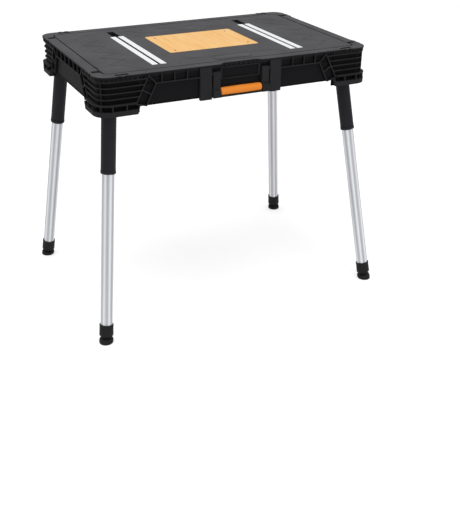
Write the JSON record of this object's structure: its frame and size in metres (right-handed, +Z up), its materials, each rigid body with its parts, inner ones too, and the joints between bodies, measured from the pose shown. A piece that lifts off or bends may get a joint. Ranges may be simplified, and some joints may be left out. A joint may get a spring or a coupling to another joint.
{
  "type": "folding workbench",
  "caption": "Portable workbench: moulded deck with clamp tracks and a plywood board, on splayed legs that fold flat into the ribbed frame, with a carrying handle.",
  "frame": {"origin": "on the floor under the middle of the bench as it stands open", "axes": "+X along the long side to the right, +Y to the back away from the handle, +Z up"},
  "size_m": [0.962, 0.6742, 0.78],
  "materials": {
    "deck_plastic": "moulded, fine grain",
    "frame_plastic": "moulded, satin",
    "leg_plastic": "moulded, satin",
    "anodised_aluminium": "clear anodised extrusion",
    "leg_aluminium": "drawn tube, fluted, satin",
    "plywood": "sanded birch face",
    "orange_plastic": "moulded, satin gloss",
    "foot_rubber": "moulded",
    "zinc_steel": "zinc plated"
  },
  "bodies": {
    "bench_top": {"deck": "deck_plastic", "under_frame": "frame_plastic", "work_board": "plywood", "clamp_track_left": "anodised_aluminium", "clamp_track_right": "anodised_aluminium", "handle_post_left": "frame_plastic", "handle_post_right": "frame_plastic", "handle_pin_left": "zinc_steel", "handle_pin_right": "zinc_steel", "board_screw_1": "zinc_steel", "board_screw_2": "zinc_steel", "board_screw_3": "zinc_steel", "board_screw_4": "zinc_steel", "frame_screw_1": "zinc_steel", "frame_screw_2": "zinc_steel", "frame_screw_3": "zinc_steel", "frame_screw_4": "zinc_steel", "front_left_hinge_bracket": "frame_plastic", "front_left_hinge_pin": "zinc_steel", "front_left_leg_clip": "frame_plastic", "front_left_bracket_screw_1": "zinc_steel", "front_left_bracket_screw_2": "zinc_steel", "back_right_hinge_bracket": "frame_plastic", "back_right_hinge_pin": "zinc_steel", "back_right_leg_clip": "frame_plastic", "back_right_bracket_screw_1": "zinc_steel", "back_right_bracket_screw_2": "zinc_steel", "front_right_hinge_bracket": "frame_plastic", "front_right_hinge_pin": "zinc_steel", "front_right_leg_clip": "frame_plastic", "front_right_bracket_screw_1": "zinc_steel", "front_right_bracket_screw_2": "zinc_steel", "back_left_hinge_bracket": "frame_plastic", "back_left_hinge_pin": "zinc_steel", "back_left_leg_clip": "frame_plastic", "back_left_bracket_screw_1": "zinc_steel", "back_left_bracket_screw_2": "zinc_steel"},
    "front_left_leg": {"front_left_leg_sleeve": "leg_plastic", "front_left_locking_collar": "leg_plastic", "front_left_leg_tube": "leg_aluminium", "front_left_foot": "foot_rubber"},
    "front_left_latch": {"front_left_latch_plunger": "orange_plastic"},
    "back_right_leg": {"back_right_leg_sleeve": "leg_plastic", "back_right_locking_collar": "leg_plastic", "back_right_leg_tube": "leg_aluminium", "back_right_foot": "foot_rubber"},
    "back_right_latch": {"back_right_latch_plunger": "orange_plastic"},
    "front_right_leg": {"front_right_leg_sleeve": "leg_plastic", "front_right_locking_collar": "leg_plastic", "front_right_leg_tube": "leg_aluminium", "front_right_foot": "foot_rubber"},
    "front_right_latch": {"front_right_latch_plunger": "orange_plastic"},
    "back_left_leg": {"back_left_leg_sleeve": "leg_plastic", "back_left_locking_collar": "leg_plastic", "back_left_leg_tube": "leg_aluminium", "back_left_foot": "foot_rubber"},
    "back_left_latch": {"back_left_latch_plunger": "orange_plastic"},
    "handle": {"handle_bail": "frame_plastic", "handle_grip": "orange_plastic"}
  },
  "joints": [
    {"name": "handle_swing", "type": "hinge", "parent": "bench_top", "child": "handle", "pos_m": [0, -0.2685, 0.753], "axis": [-1, 0, 0], "range_deg": [0, 90]},
    {"name": "front_left_leg_fold", "type": "hinge", "parent": "bench_top", "child": "front_left_leg", "pos_m": [-0.38, -0.235, 0.72], "axis": [0.0996, -0.995, 0], "range_deg": [0, 96.94]},
    {"name": "front_left_latch_pull", "type": "slide", "parent": "bench_top", "child": "front_left_latch", "axis": [-0.0996, 0.995, 0], "range_m": [0, 0.005], "stiffness_N_per_m": 900},
    {"name": "back_right_leg_fold", "type": "hinge", "parent": "bench_top", "child": "back_right_leg", "pos_m": [0.38, 0.235, 0.72], "axis": [-0.0996, 0.995, 0], "range_deg": [0, 96.94]},
    {"name": "back_right_latch_pull", "type": "slide", "parent": "bench_top", "child": "back_right_latch", "axis": [0.0996, -0.995, 0], "range_m": [0, 0.005], "stiffness_N_per_m": 900},
    {"name": "front_right_leg_fold", "type": "hinge", "parent": "bench_top", "child": "front_right_leg", "pos_m": [0.384, -0.19, 0.72], "axis": [0.1535, 0.9881, 0], "range_deg": [0, 97.47]},
    {"name": "front_right_latch_pull", "type": "slide", "parent": "bench_top", "child": "front_right_latch", "axis": [0.1535, 0.9881, 0], "range_m": [0, 0.005], "stiffness_N_per_m": 900},
    {"name": "back_left_leg_fold", "type": "hinge", "parent": "bench_top", "child": "back_left_leg", "pos_m": [-0.384, 0.19, 0.72], "axis": [-0.1535, -0.9881, 0], "range_deg": [0, 97.47]},
    {"name": "back_left_latch_pull", "type": "slide", "parent": "bench_top", "child": "back_left_latch", "axis": [-0.1535, -0.9881, 0], "range_m": [0, 0.005], "stiffness_N_per_m": 900}
  ]
}
